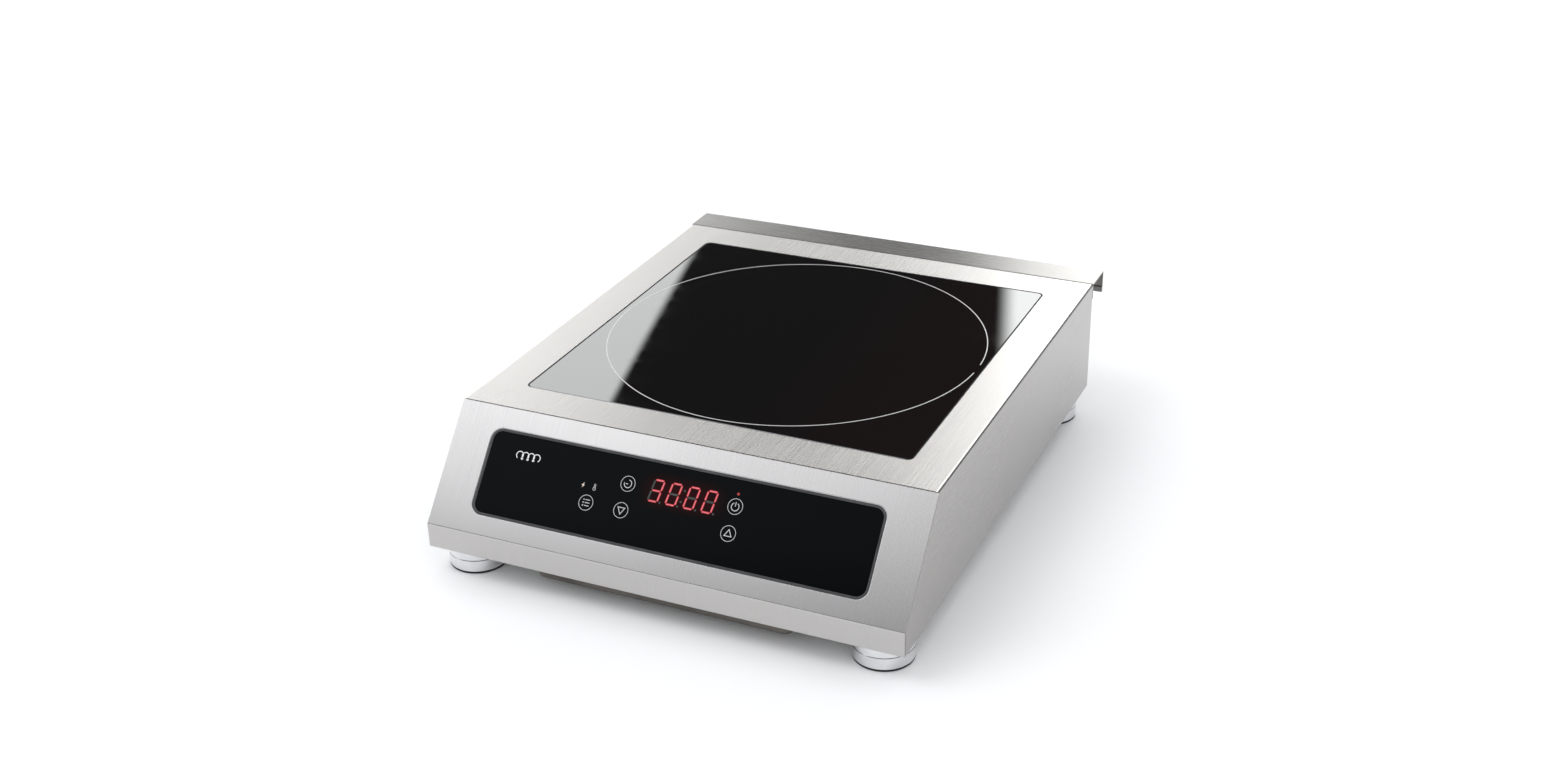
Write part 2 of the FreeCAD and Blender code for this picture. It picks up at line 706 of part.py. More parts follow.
def fan_rotor(x):
    low = base_top_z + 3.0
    high = base_top_z + fan_height - 3.2
    cup = ring(hub_radius - 1.5, hub_radius - 0.2, low, high, x, fan_y)
    face = disc(hub_radius - 0.2, low, low + 1.5, x, fan_y)
    shaft = disc(fan_shaft_radius, low, base_top_z + fan_height - 4.0, x, fan_y)
    blades = []
    blade_length = blade_reach - hub_radius + 3.0
    for step in range(blade_count):
        blade = block(0, 0, blade_length, 1.6, -11.0, 11.0)
        blade.rotate(Vec(0, 0, 0), Vec(1, 0, 0), blade_pitch)
        blade.translate(Vec(hub_radius - 1.2 + blade_length / 2.0, 0, (low + high) / 2.0))
        blade.rotate(Vec(0, 0, 0), Vec(0, 0, 1), 360.0 * step / blade_count)
        blade.translate(Vec(x, fan_y, 0))
        blades.append(blade)
    limit = ring(hub_radius - 0.8, blade_reach, low + 0.5, high - 0.5, x, fan_y)
    blades = [blade.common(limit) for blade in blades]
    return join([cup, face, shaft] + blades)


def fan_screws():
    z_head = base_top_z + fan_height
    places = [place for x in fan_centres.values() for place in fan_hole_places(x)]
    return Part.makeCompound([pan_screw(small_screw_radius, 10.0, z_head, x, y, False) for x, y in places])


# ---- coil ----
def coil_winding():
    turns = int((coil_outer - coil_inner) / turn_pitch)
    high = winding_z + winding_height
    rings = []
    for turn in range(turns):
        inner = coil_inner + turn_pitch * turn
        rings.append(ring(inner, inner + turn_pitch - turn_gap, winding_z, high, 0, glass_y))
    return Part.makeCompound(rings)


def coil_former():
    hub = ring(14.0, 23.0, former_z, former_z + former_height, 0, glass_y)
    rim = ring(coil_outer - 4.0, coil_outer + 8.0, former_z, former_z + former_height, 0, glass_y)
    spokes = []
    for step in range(ferrite_count):
        spoke = box(20.0, coil_outer, -9.0, 9.0, former_z, former_z + former_height)
        spoke.rotate(Vec(0, 0, 0), Vec(0, 0, 1), ferrite_turn(step))
        spoke.translate(Vec(0, glass_y, 0))
        spokes.append(spoke)
    high = former_z + former_height
    feet = [disc(6.5, shield_z + shield_thickness, high, x, y) for x, y in coil_post_places()]
    holes = [disc(2.4, shield_z, former_z + former_height + 1.0, x, y) for x, y in coil_post_places()]
    return join([hub, rim] + spokes + feet).cut(Part.makeCompound(holes))


def ferrite_turn(step):
    return 360.0 * (step + 0.5) / ferrite_count


def ferrite_bars():
    bars = []
    for step in range(ferrite_count):
        bar = box(30.0, 30.0 + ferrite_size[0], -ferrite_size[1] / 2.0, ferrite_size[1] / 2.0,
                  ferrite_z, ferrite_z + ferrite_size[2])
        bar.rotate(Vec(0, 0, 0), Vec(0, 0, 1), ferrite_turn(step))
        bar.translate(Vec(0, glass_y, 0))
        bars.append(bar)
    return Part.makeCompound(bars)


def mica_sheet():
    return ring(13.0, coil_outer + 4.0, mica_z, mica_z + mica_thickness, 0, glass_y)


def coil_post_places():
    places = []
    for angle in coil_post_angles:
        turn = math.radians(angle)
        places.append((coil_post_reach * math.cos(turn), glass_y + coil_post_reach * math.sin(turn)))
    return places


def coil_shield():
    plate = disc(coil_outer + 13.0, shield_z, shield_z + shield_thickness, 0, glass_y)
    holes = [disc(2.2, shield_z - 1.0, shield_z + 3.0, x, y) for x, y in coil_post_places()]
    holes.append(disc(3.0, shield_z - 1.0, shield_z + 3.0, 0, glass_y))
    return plate.cut(Part.makeCompound(holes))


def coil_posts():
    posts = []
    for x, y in coil_post_places():
        post = hexagon(2.0 * coil_post_radius, base_top_z, shield_z, x, y)
        posts.append(post.cut(disc(2.05, shield_z - 12.0, shield_z + 1.0, x, y)))
    return Part.makeCompound(posts)


def coil_screws():
    z_head = former_z + former_height
    length = z_head - shield_z + 8.0
    return Part.makeCompound([pan_screw(1.5, length, z_head, x, y, False) for x, y in coil_post_places()])


def sensor_holder():
    low, high = shield_z + shield_thickness + 4.5, glass_low_z - 0.3
    flange = disc(sensor_cap_radius + 2.5, low, low + 2.0, 0, glass_y)
    cap = join([disc(sensor_cap_radius, low, high, 0, glass_y), flange])
    seat = disc(sensor_bead_radius + screw_clearance, high - 3.0, high + 1.0, 0, glass_y)
    return cap.cut(seat).cut(disc(1.2, low - 1.0, high, 0, glass_y))


def temperature_sensor():
    high = glass_low_z - 0.1
    bead = disc(sensor_bead_radius, high - 3.0, high, 0, glass_y)
    lead = disc(1.0, shield_z + shield_thickness + 5.0, high - 3.0, 0, glass_y)
    return join([bead, lead])


def sensor_spring():
    """The flat-wound spring under the sensor cap, closed turns tied by two links."""
    inner, outer = sensor_spring_radii
    wire = outer - inner
    low = shield_z + shield_thickness + 0.1
    high = shield_z + shield_thickness + 4.4
    pitch = (high - low - wire) / sensor_spring_turns
    heights = [low + pitch * turn for turn in range(sensor_spring_turns + 1)]
    rings = [ring(inner, outer, z, z + wire, 0, glass_y) for z in heights]
    links = [box(inner, outer, -0.4, 0.4, low, high), box(-outer, -inner, -0.4, 0.4, low, high)]
    for link in links:
        link.translate(Vec(0, glass_y, 0))
    return join(rings + links)


# ---- power electronics ----
def standoff_places():
    x_reach = power_board_size[0] / 2.0 - 5.0
    y_reach = power_board_size[1] / 2.0 - 5.0
    return [(sx * x_reach, power_board_y + sy * y_reach) for sx in (-1.0, 1.0) for sy in (-1.0, 1.0)]


def power_board():
    plate = rounded(0, power_board_y, power_board_size[0], power_board_size[1], 2.0,
                    power_board_z, power_board_z + board_thickness)
    return plate.cut(Part.makeCompound([disc(1.9, power_board_z - 1.0, power_board_z + 3.0, x, y)
                                        for x, y in standoff_places()]))


def board_standoffs():
    posts = []
    for x, y in standoff_places():
        post = hexagon(6.0, base_top_z, power_board_z, x, y)
        posts.append(post.cut(disc(1.55, power_board_z - 5.0, power_board_z + 1.0, x, y)))
    return Part.makeCompound(posts)


def board_screws():
    z_head = parts_on_board_z
    screws = [pan_screw(small_screw_radius, 5.5, z_head, x, y, False) for x, y in standoff_places()]
    return Part.makeCompound(screws)


def power_transistors():
    x, y = heatsink_place
    low, high = parts_on_board_z, parts_on_board_z + package_height
    packages = [block(x + offset, y, 16.0, package_depth, low, high) for offset in (-34.0, -10.0)]
    return Part.makeCompound(packages)


def bridge_rectifier():
    x, y = heatsink_place
    low, high = parts_on_board_z, parts_on_board_z + package_height
    return rounded(x + 25.0, y, 30.0, package_depth, 2.0, low, high)


def heatsink():
    x, y = heatsink_place
    width, depth, height = heatsink_size
    low = parts_on_board_z + package_height
    fins = [block(x, y, width, depth, low, low + fin_base)]
    pitch = (width - fin_thickness) / (fin_count - 1)
    first = x - (width - fin_thickness) / 2.0
    for step in range(fin_count):
        fins.append(block(first + pitch * step, y, fin_thickness, depth, low, low + height))
    return join(fins)


def film_capacitors():
    width, depth, height = capacitor_size
    high = parts_on_board_z + height
    boxes = []
    for x, y in capacitor_places:
        body = rounded(x, y, width, depth, 1.5, parts_on_board_z, high)
        top = [edge for edge in body.Edges if abs(edge.CenterOfMass.z - high) < 0.01]
        boxes.append(body.makeChamfer(0.8, top))
    return Part.makeCompound(boxes)


def filter_choke():
    x, y = choke_place
    middle, thickness = choke_radii
    low = parts_on_board_z
    core = Part.makeTorus(middle, thickness, Vec(x, y, low + 16.0 + thickness), Vec(1, 0, 0))
    foot = block(x, y, 16.0, 28.0, low, low + 3.4)
    return join([core, foot])


def mains_fuse():
    x, y = fuse_place
    length, radius = fuse_size
    z = parts_on_board_z + 6.0
    tube = Part.makeCylinder(radius, length, Vec(x - length / 2.0, y, z), Vec(1, 0, 0))
    clips = [block(x + side * 8.0, y, 4.0, 8.0, parts_on_board_z, z + 1.0) for side in (-1.0, 1.0)]
    return join([tube] + clips)


def terminal_block():
    x, y = terminal_place
    width, depth, height = terminal_size
    low = parts_on_board_z
    body = block(x, y, width, depth, low, low + height)
    cutters = []
    for step in (-1.0, 0.0, 1.0):
        way_x = x + step * terminal_pitch
        cutters.append(disc(2.6, low + 8.0, low + height + 1.0, way_x, y + 1.0))
        cutters.append(block(way_x, y - depth / 2.0, 5.0, 6.0, low + 3.0, low + 9.0))
    return body.cut(Part.makeCompound(cutters))


def path_wire(points, radius):
    """Straight runs through points, with a tangent arc of the given radius at each corner."""
    edges = []
    start = points[0]
    for before, corner, after in zip(points, points[1:], points[2:]):
        to_back = (before - corner).normalize()
        to_next = (after - corner).normalize()
        half = to_back.getAngle(to_next) / 2.0
        reach = radius / math.tan(half)
        first = corner + to_back * reach
        last = corner + to_next * reach
        middle_way = (to_back + to_next).normalize()
        middle = corner + middle_way * (radius / math.sin(half) - radius)
        edges.append(Part.LineSegment(start, first).toShape())
        edges.append(Part.Arc(first, middle, last).toShape())
        start = last
    edges.append(Part.LineSegment(start, points[-1]).toShape())
    return Part.Wire(edges)


def ribbon_cable():
    """Flat cable from the back of the control board, along the base between the fans, to the power board."""
    low = base_top_z + 4.0
    high = parts_on_board_z + 6.0
    start = Vec(0, fold_y - 21.0, top_z - 49.0)
    board_edge = power_board_y - power_board_size[1] / 2.0
    points = [start, Vec(0, start.y, low), Vec(0, board_edge - 14.0, low)]
    points += [Vec(0, board_edge - 14.0, high), Vec(0, board_edge + 6.0, high)]
    half_wide, half_thick = ribbon_half_size
    corners = [Vec(sx * half_wide, start.y + sy * half_thick, start.z)
               for sx, sy in ((-1, -1), (1, -1), (1, 1), (-1, 1), (-1, -1))]
    return path_wire(points, ribbon_bend).makePipeShell([Part.makePolygon(corners)], True, False)


def earth_stud():
    x, y = earth_stud_place
    low = base_top_z
    nut_high = low + 3.2
    stud = disc(2.0, low, low + 14.0, x, y)
    return join([stud, hexagon(7.0, low, nut_high, x, y), disc(5.0, nut_high, low + 4.0, x, y)])


# ---- mains cable gland ----
def turned_to_rear(shape):
    turn = FreeCAD.Rotation(Vec(1, 0, 0), -90.0)
    shape.Placement = FreeCAD.Placement(Vec(gland_x, rear_y, gland_z), turn)
    return shape


def cable_gland():
    """Built along +Z from the panel's outer face, then turned to point backwards."""
    flange = hexagon(gland_hex, 0.0, 5.0)
    dome = Part.makeCone(9.6, 7.0, 11.0, Vec(0, 0, 5.0))
    thread = disc(gland_thread, -sheet - 9.0, 0.0)
    bore = disc(gland_bore, -sheet - 10.0, 17.0)
    return turned_to_rear(join([flange, dome, thread]).cut(bore))


def gland_nut():
    nut = hexagon(gland_hex, -sheet - 5.0, -sheet)
    return turned_to_rear(nut.cut(disc(gland_thread + thread_clearance, -sheet - 6.0, 0.0)))


# ---- output ----
def all_parts():
    parts = {
        "top_cover": top_cover(),
        "front_panel": front_panel(),
        "rear_panel": rear_panel(),
        "rear_hood": rear_hood(),
        "hood_screws": hood_screws(),
        "base_plate": base_plate(),
        "base_screws": base_screws(),
        "intake_guard": intake_guard(),
        "guard_screws": guard_screws(),
        "ceramic_glass": ceramic_glass(),
        "glass_sealant": glass_sealant(),
        "glass_support_frame": glass_support_frame(),
        "control_gasket": control_gasket(),
        "control_glass": control_glass(),
        "panel_carrier": panel_carrier(),
        "control_board": control_board(),
        "control_board_screws": control_board_screws(),
        "display_module": display_module(),
        "indicator_lamps": indicator_lamps(),
        "key_springs": key_springs(),
        "buzzer": buzzer(),
        "foot_nuts": foot_nuts(),
        "fan_screws": fan_screws(),
        "coil_winding": coil_winding(),
        "coil_former": coil_former(),
        "ferrite_bars": ferrite_bars(),
        "mica_sheet": mica_sheet(),
        "coil_shield": coil_shield(),
        "coil_posts": coil_posts(),
        "coil_screws": coil_screws(),
        "sensor_holder": sensor_holder(),
        "temperature_sensor": temperature_sensor(),
        "sensor_spring": sensor_spring(),
        "power_board": power_board(),
        "board_standoffs": board_standoffs(),
        "board_screws": board_screws(),
        "power_transistors": power_transistors(),
        "bridge_rectifier": bridge_rectifier(),
        "heatsink": heatsink(),
        "film_capacitors": film_capacitors(),
        "filter_choke": filter_choke(),
        "mains_fuse": mains_fuse(),
        "terminal_block": terminal_block(),
        "ribbon_cable": ribbon_cable(),
        "earth_stud": earth_stud(),
        "cable_gland": cable_gland(),
        "gland_nut": gland_nut(),
    }
    for corner, (x, y) in foot_corners.items():
        parts[corner + "_foot_cup"] = foot_cup(x, y)
        parts[corner + "_foot_pad"] = foot_pad(x, y)
    for side, x in fan_centres.items():
        parts[side + "_fan_frame"] = fan_frame(x)
        parts[side + "_fan_rotor"] = fan_rotor(x)
    return parts


os.makedirs("parts", exist_ok=True)
for name, shape in all_parts().items():
    shape.exportStep(os.path.join("parts", name + ".step"))
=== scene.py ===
"""Looks of a counter-top induction hob: a finish for every CAD node, its marks and display, the studio."""

import math

import bmesh
import bpy
from mathutils import Matrix, Vector


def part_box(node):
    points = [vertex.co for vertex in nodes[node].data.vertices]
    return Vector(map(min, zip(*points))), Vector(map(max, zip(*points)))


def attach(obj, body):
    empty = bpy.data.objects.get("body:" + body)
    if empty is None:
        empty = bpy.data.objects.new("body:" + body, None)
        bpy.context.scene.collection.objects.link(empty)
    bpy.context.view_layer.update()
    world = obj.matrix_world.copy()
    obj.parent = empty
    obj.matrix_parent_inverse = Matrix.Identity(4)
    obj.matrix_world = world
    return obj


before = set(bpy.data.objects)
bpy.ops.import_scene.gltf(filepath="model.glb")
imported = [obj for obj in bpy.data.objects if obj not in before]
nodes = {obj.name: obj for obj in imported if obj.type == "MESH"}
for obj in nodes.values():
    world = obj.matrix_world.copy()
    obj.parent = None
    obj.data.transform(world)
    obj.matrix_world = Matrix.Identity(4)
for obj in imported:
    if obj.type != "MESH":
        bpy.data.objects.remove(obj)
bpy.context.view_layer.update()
MM = 0.001


# ---------------------------------------------------------------- shader helpers

class Nodes:
    """Short ways to add nodes that work out a number or a colour."""

    def __init__(self, tree):
        self.tree = tree

    def math(self, operation, first, second=0.0):
        node = self.tree.nodes.new("ShaderNodeMath")
        node.operation = operation
        for socket, value in zip(node.inputs, (first, second)):
            if isinstance(value, (int, float)):
                socket.default_value = value
            else:
                self.tree.links.new(value, socket)
        return node.outputs["Value"]

    def span(self, value, low, high, from_low=0.3, from_high=0.7):
        """value, from from_low to from_high, as a number from low to high."""
        ranged = self.tree.nodes.new("ShaderNodeMapRange")
        ranged.interpolation_type = "SMOOTHSTEP"
        self.tree.links.new(value, ranged.inputs["Value"])
        limits = {"From Min": from_low, "From Max": from_high, "To Min": low, "To Max": high}
        for socket, number in limits.items():
            ranged.inputs[socket].default_value = number
        return ranged.outputs["Result"]

    def between(self, value, dark, full, fading, out):
        """1 while value is from full to fading, and 0 below dark and above out."""
        return self.math("MULTIPLY", self.span(value, 0.0, 1.0, dark, full),
                         self.span(value, 1.0, 0.0, fading, out))

    def mix(self, share, first, second):
        node = self.tree.nodes.new("ShaderNodeMix")
        node.data_type = "RGBA"
        inputs = {s.identifier: s for s in node.inputs}
        for key, value in (("Factor_Float", share), ("A_Color", first), ("B_Color", second)):
            if isinstance(value, (int, float)):
                inputs[key].default_value = value
            elif isinstance(value, tuple):
                inputs[key].default_value = (*value, 1.0)
            else:
                self.tree.links.new(value, inputs[key])
        return next(s for s in node.outputs if s.identifier == "Result_Color")


class Finish(Nodes):
    """A material built on one Principled shader, with short ways to add noise, colour variation and bump."""

    def __init__(self, name, **sockets):
        self.material = bpy.data.materials.new(name)
        self.material.use_nodes = True
        super().__init__(self.material.node_tree)
        self.shader = self.tree.nodes["Principled BSDF"]
        self.where = self.tree.nodes.new("ShaderNodeTexCoord").outputs["Object"]
        for socket, value in sockets.items():
            self.shader.inputs[socket.replace("_", " ")].default_value = value

    def link(self, output, socket):
        self.tree.links.new(output, self.shader.inputs[socket])

    def placed(self, scale, turn):
        """The object's own coordinates, in metres, scaled and turned (in radians)."""
        mapping = self.tree.nodes.new("ShaderNodeMapping")
        mapping.inputs["Scale"].default_value = scale
        mapping.inputs["Rotation"].default_value = turn
        self.tree.links.new(self.where, mapping.inputs["Vector"])
        return mapping.outputs["Vector"]

    def noise(self, scale, detail=3.0, roughness=0.55, distortion=0.0, turn=(0, 0, 0)):
        """Noise whose features are 1/scale metres long on each axis."""
        if not isinstance(scale, tuple):
            scale = (scale,) * 3
        texture = self.tree.nodes.new("ShaderNodeTexNoise")
        texture.inputs["Scale"].default_value = 1.0
        texture.inputs["Detail"].default_value = detail
        texture.inputs["Roughness"].default_value = roughness
        texture.inputs["Distortion"].default_value = distortion
        self.tree.links.new(self.placed(scale, turn), texture.inputs["Vector"])
        return texture.outputs["Fac"]

    def cells(self, scale, feature="F1"):
        """Distances in a field of cells 1/scale metres across."""
        texture = self.tree.nodes.new("ShaderNodeTexVoronoi")
        texture.feature = feature
        texture.inputs["Scale"].default_value = scale
        self.tree.links.new(self.where, texture.inputs["Vector"])
        return texture.outputs["Distance"]

    def wave(self, scale, axis, distortion=0.0, kind="BANDS"):
        """Bands or rings that repeat along or round an axis."""
        texture = self.tree.nodes.new("ShaderNodeTexWave")
        texture.wave_type = kind
        if kind == "BANDS":
            texture.bands_direction = axis
        else:
            texture.rings_direction = axis
        texture.inputs["Scale"].default_value = scale
        texture.inputs["Distortion"].default_value = distortion
        self.tree.links.new(self.where, texture.inputs["Vector"])
        return texture.outputs["Fac"]

    def axis(self, name):
        split = self.tree.nodes.new("ShaderNodeSeparateXYZ")
        self.tree.links.new(self.where, split.inputs["Vector"])
        return split.outputs[name]

    def colours(self, value, stops):
        """A colour ramp through value: stops are (position, (red, green, blue))."""
        ramp = self.tree.nodes.new("ShaderNodeValToRGB")
        self.tree.links.new(value, ramp.inputs["Fac"])
        elements = ramp.color_ramp.elements
        while len(elements) < len(stops):
            elements.new(0.5)
        for element, (position, colour) in zip(elements, stops):
            element.position = position
            element.color = (*colour, 1.0)
        return ramp.outputs["Color"]

    def bump(self, height, depth, strength):
        """Bump whose full height is depth metres."""
        node = self.tree.nodes.new("ShaderNodeBump")
        node.inputs["Strength"].default_value = strength
        node.inputs["Distance"].default_value = depth
        self.tree.links.new(height, node.inputs["Height"])
        self.link(node.outputs["Normal"], "Normal")


def brushed(name, grain, light, dark, rough_low, rough_high, spread=(1.0, 0.0, 0.25), stretch=0.8):
    """Satin sheet metal: fine streaks along the axes in grain, broader faint bands and clouding.

    spread is the direction across the grain, in which its highlights widen, and stretch is by how much.
    """
    f = Finish(name, Metallic=1.0, Anisotropic=stretch)
    fine = f.noise(tuple(11 if a in grain else 1900 for a in "XYZ"), detail=3, roughness=0.6)
    bands = f.noise(tuple(4 if a in grain else 190 for a in "XYZ"), detail=4, roughness=0.7)
    blotch = f.noise(7, detail=4, distortion=0.5)
    streaks = f.math("ADD", f.math("MULTIPLY", fine, 0.85), f.math("MULTIPLY", bands, 0.15))
    tone = f.colours(streaks, ((0.3, dark), (0.7, light)))
    f.link(f.mix(f.span(blotch, 0.0, 0.5, 0.4, 0.75), tone, tuple(0.955 * c for c in light)), "Base Color")
    rough = f.math("ADD", f.math("MULTIPLY", fine, 0.55), f.math("MULTIPLY", blotch, 0.45))
    f.link(f.span(rough, rough_low, rough_high, 0.35, 0.65), "Roughness")
    tangent = f.tree.nodes.new("ShaderNodeCombineXYZ")
    for socket, value in zip(tangent.inputs, spread):
        socket.default_value = value
    f.link(tangent.outputs["Vector"], "Tangent")
    f.bump(fine, 0.000003, 0.1)
    return f.material


def plated(name, light, dark, rough_low, rough_high, scale):
    """Plated or milled metal with faint clouding and small scuffs."""
    f = Finish(name, Metallic=1.0)
    cloud = f.noise(scale, detail=4)
    scuff = f.noise((scale * 14, scale * 14, scale * 3), detail=3, distortion=0.3)
    f.link(f.colours(cloud, ((0.35, dark), (0.65, light))), "Base Color")
    wear = f.math("ADD", f.math("MULTIPLY", cloud, 0.5), f.math("MULTIPLY", scuff, 0.5))
    f.link(f.span(wear, rough_low, rough_high), "Roughness")
    f.bump(scuff, 0.00002, 0.4)
    return f.material


def moulded(name, light, dark, rough_low, rough_high, grain=900):
    """Moulded plastic, rubber or ceramic with a fine surface grain and slight clouding."""
    f = Finish(name)
    cloud = f.noise(45, detail=3)
    fine = f.noise(grain, detail=2)
    f.link(f.colours(cloud, ((0.35, dark), (0.65, light))), "Base Color")
    f.link(f.span(fine, rough_low, rough_high), "Roughness")
    f.bump(fine, 0.00006, 0.6)
    return f.material


# ---------------------------------------------------------------- finishes

def black_glass():
    """Glass ceramic: near black with a deep red-brown body, a few wipe marks in its gloss."""
    f = Finish("black_glass_ceramic", IOR=2.3)
    body = f.span(f.axis("X"), 0.0, 1.0, 0.0, 0.13)
    f.link(f.colours(body, ((0.0, (0.0032, 0.0032, 0.0036)), (1.0, (0.0062, 0.0034, 0.0038)))), "Base Color")
    wipe = f.noise((14, 40, 14), detail=4, distortion=1.2, turn=(0, 0, 0.5))
    f.link(f.span(wipe, 0.012, 0.03, 0.4, 0.7), "Roughness")
    f.bump(f.noise(350, detail=2), 0.000002, 0.2)
    return f.material


def panel_glass():
    """Smoked control glass, with the lit display's faint red haze in its body."""
    f = Finish("smoked_panel_glass", IOR=1.5, Specular_IOR_Level=0.03)
    display_z = fold.z - DISPLAY_DOWN * MM * slope.z
    aside = f.math("ABSOLUTE", f.math("SUBTRACT", f.axis("X"), DISPLAY_CENTRE * MM))
    above = f.math("ABSOLUTE", f.math("SUBTRACT", f.axis("Z"), display_z))
    haze = f.math("MULTIPLY", f.span(aside, 1.0, 0.0, 0.014, 0.034), f.span(above, 1.0, 0.0, 0.001, 0.011))
    f.link(f.colours(haze, ((0.0, (0.0016, 0.0021, 0.0024)), (1.0, (0.007, 0.0018, 0.0018)))), "Base Color")
    f.link(f.colours(haze, ((0.0, (0.0, 0.0, 0.0)), (1.0, (0.020, 0.0006, 0.001)))), "Emission Color")
    f.shader.inputs["Emission Strength"].default_value = 0.6
    f.link(f.span(f.noise((60, 60, 60), detail=3, distortion=0.8), 0.05, 0.09), "Roughness")
    f.bump(f.noise(400, detail=2), 0.000003, 0.3)
    return f.material


def board():
    """Green solder mask with copper tracks and pale legend specks showing through."""
    f = Finish("board_green_mask", Roughness=0.4)
    tracks = f.cells(260, "DISTANCE_TO_EDGE")
    mask = f.colours(tracks, ((0.02, (0.10, 0.26, 0.09)), (0.10, (0.012, 0.10, 0.035))))
    specks = f.span(f.noise(700, detail=1), 0.0, 0.5, 0.68, 0.72)
    f.link(f.mix(specks, mask, (0.55, 0.58, 0.50)), "Base Color")
    f.bump(tracks, 0.00005, 0.3)
    return f.material


def copper_winding():
    """Enamelled litz wire wound flat: rings of strands round the coil's axis."""
    f = Finish("enamelled_litz", Metallic=0.85)
    rings = f.wave(210, "Z", 0.15, "RINGS")
    strands = f.noise(1500, detail=2)
    shade = f.math("ADD", f.math("MULTIPLY", rings, 0.7), f.math("MULTIPLY", strands, 0.3))
    f.link(f.colours(shade, ((0.15, (0.13, 0.035, 0.012)), (0.75, (0.62, 0.24, 0.09)))), "Base Color")
    f.link(f.span(strands, 0.32, 0.5), "Roughness")
    f.bump(shade, 0.0004, 0.7)
    return f.material


def ribbed(name, light, dark, spacing, axis, roughness):
    """Parallel wires or ribs side by side."""
    f = Finish(name, Roughness=roughness)
    bands = f.wave(1.0 / spacing / 3.1416, axis)
    cloud = f.noise(300, detail=2)
    shade = f.math("ADD", f.math("MULTIPLY", bands, 0.7), f.math("MULTIPLY", cloud, 0.3))
    f.link(f.colours(shade, ((0.2, dark), (0.7, light))), "Base Color")
    f.bump(bands, spacing * 0.2, 0.6)
    return f.material


def flaked(name, light, dark, roughness, scale):
    """Layered mineral sheet or sintered block: flakes of two tones."""
    f = Finish(name, Roughness=roughness)
    flake = f.cells(scale)
    cloud = f.noise(scale * 0.4, detail=4)
    shade = f.math("ADD", f.math("MULTIPLY", flake, 0.5), f.math("MULTIPLY", cloud, 0.5))
    f.link(f.colours(shade, ((0.25, dark), (0.6, light))), "Base Color")
    f.bump(shade, 0.0001, 0.4)
    return f.material


def printed(name, light, dark):
    """Screen-printed ceramic ink: slightly uneven, matt on the gloss of the glass."""
    f = Finish(name)
    grain = f.noise(1600, detail=2)
    f.link(f.colours(grain, ((0.3, dark), (0.7, light))), "Base Color")
    f.link(f.span(grain, 0.45 - 0.08, 0.45 + 0.08), "Roughness")
    f.bump(grain, 0.00001, 0.4)
    return f.material


def lit(name, bright, dim, strength):
    """A lamp or display segment behind smoked glass: uneven light from node noise."""
    f = Finish(name, Roughness=0.3)
    f.shader.inputs["Base Color"].default_value = (0.03, 0.004, 0.005, 1)
    glow = f.noise(420, detail=2)
    f.link(f.colours(glow, ((0.3, dim), (0.7, bright))), "Emission Color")
    f.shader.inputs["Emission Strength"].default_value = strength
    return f.material


# ---------------------------------------------------------------- the sloping control panel's own frame

SLOPE_RUN, SLOPE_DROP = 57 * MM, 67.5 * MM
panel_low, panel_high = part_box("front_panel")
fold = Vector((0, panel_low.y + SLOPE_RUN, panel_high.z))
slope = Vector((0, SLOPE_RUN, SLOPE_DROP)).normalized()
outward = Vector((0, -slope.z, slope.y))
glass_face = max((v.co - fold).dot(outward) for v in nodes["control_glass"].data.vertices)

DISPLAY_CENTRE, DISPLAY_DOWN = 5.2, 34.6
DIGIT_PITCH, DIGIT_WIDTH, DIGIT_HEIGHT, DIGIT_LEAN = 12.7, 8.1, 15.4, 0.13
SEGMENT, SEGMENT_GAP = 1.36, 0.22


def on_panel(across, up, lift):
    """A point on the control glass, millimetres from the fold's middle: up is negative down the slope."""
    return fold + Vector((across * MM, 0, 0)) + slope * (up * MM) + outward * (glass_face + lift * MM)


def on_hob(across, back, lift):
    """A point on the cooking glass, millimetres from its centre."""
    return hob_centre + Vector((across, back, lift)) * MM


hob_low, hob_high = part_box("ceramic_glass")
hob_centre = Vector(((hob_low.x + hob_high.x) / 2, (hob_low.y + hob_high.y) / 2, hob_high.z))

# A print's underside and top, millimetres above the glass.
PRINT_LOW, PRINT_HIGH = -0.04, 0.035
DISC_STEPS = 28


def ribbon(bm, left, right, place, closed):
    """A thin closed strip between two rails of points."""
    rings = []
    for a, b in zip(left, right):
        corners = ((a, PRINT_LOW), (b, PRINT_LOW), (b, PRINT_HIGH), (a, PRINT_HIGH))
        rings.append([bm.verts.new(place(*point, lift)) for point, lift in corners])
    pairs = list(zip(rings, rings[1:]))
    if closed:
        pairs.append((rings[-1], rings[0]))
    else:
        bm.faces.new(rings[0])
        bm.faces.new(reversed(rings[-1]))
    for here, there in pairs:
        for i in range(4):
            bm.faces.new((here[i], here[(i + 1) % 4], there[(i + 1) % 4], there[i]))


def arc(bm, place, centre, radius, width, start=0.0, end=360.0, steps=56):
    """A printed circle or part of one, from start to end degrees."""
    closed = end - start >= 360
    count = steps if closed else steps + 1
    angles = [math.radians(start + (end - start) * i / steps) for i in range(count)]
    rails = [[(centre[0] + r * math.cos(a), centre[1] + r * math.sin(a)) for a in angles]
             for r in (radius + width / 2, radius - width / 2)]
    ribbon(bm, *rails, place, closed)


